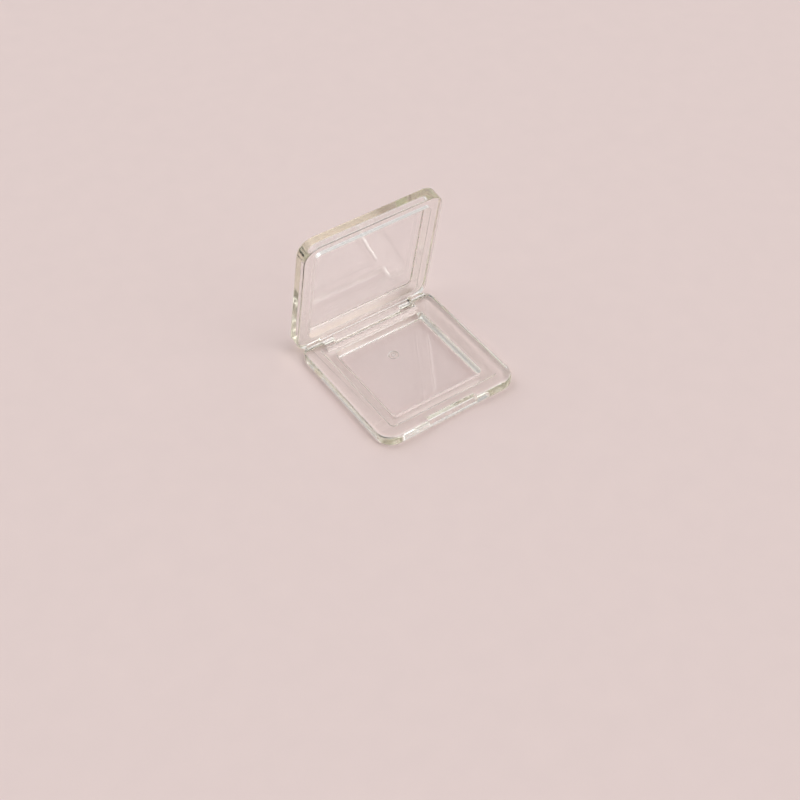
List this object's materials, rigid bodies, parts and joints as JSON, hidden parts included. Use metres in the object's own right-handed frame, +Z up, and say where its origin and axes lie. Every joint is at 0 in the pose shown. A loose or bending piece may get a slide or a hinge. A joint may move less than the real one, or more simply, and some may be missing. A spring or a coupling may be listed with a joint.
{
  "type": "empty eyeshadow palette",
  "caption": "Square clear plastic compact with a shallow square well in the tray, a finger notch in the front edge and a deep-rimmed hinged lid standing open.",
  "frame": {"origin": "middle of the tray's underside, on the surface that the compact stands on", "axes": "+Z up out of the tray's well, +Y from the front edge with the finger notch to the hinge, +X to the right seen from the front"},
  "size_m": [0.063, 0.0695, 0.063],
  "materials": {
    "clear_plastic": "clear, polished moulding",
    "pin_steel": "drawn wire"
  },
  "bodies": {
    "base": {"tray": "clear_plastic", "pin_left": "pin_steel", "pin_right": "pin_steel"},
    "lid": {"lid": "clear_plastic"}
  },
  "joints": [
    {"name": "lid_hinge", "type": "hinge", "parent": "base", "child": "lid", "pos_m": [0, 0.0288, 0.0023], "axis": [-1, 0, 0], "range_deg": [-78.6, 4]}
  ]
}
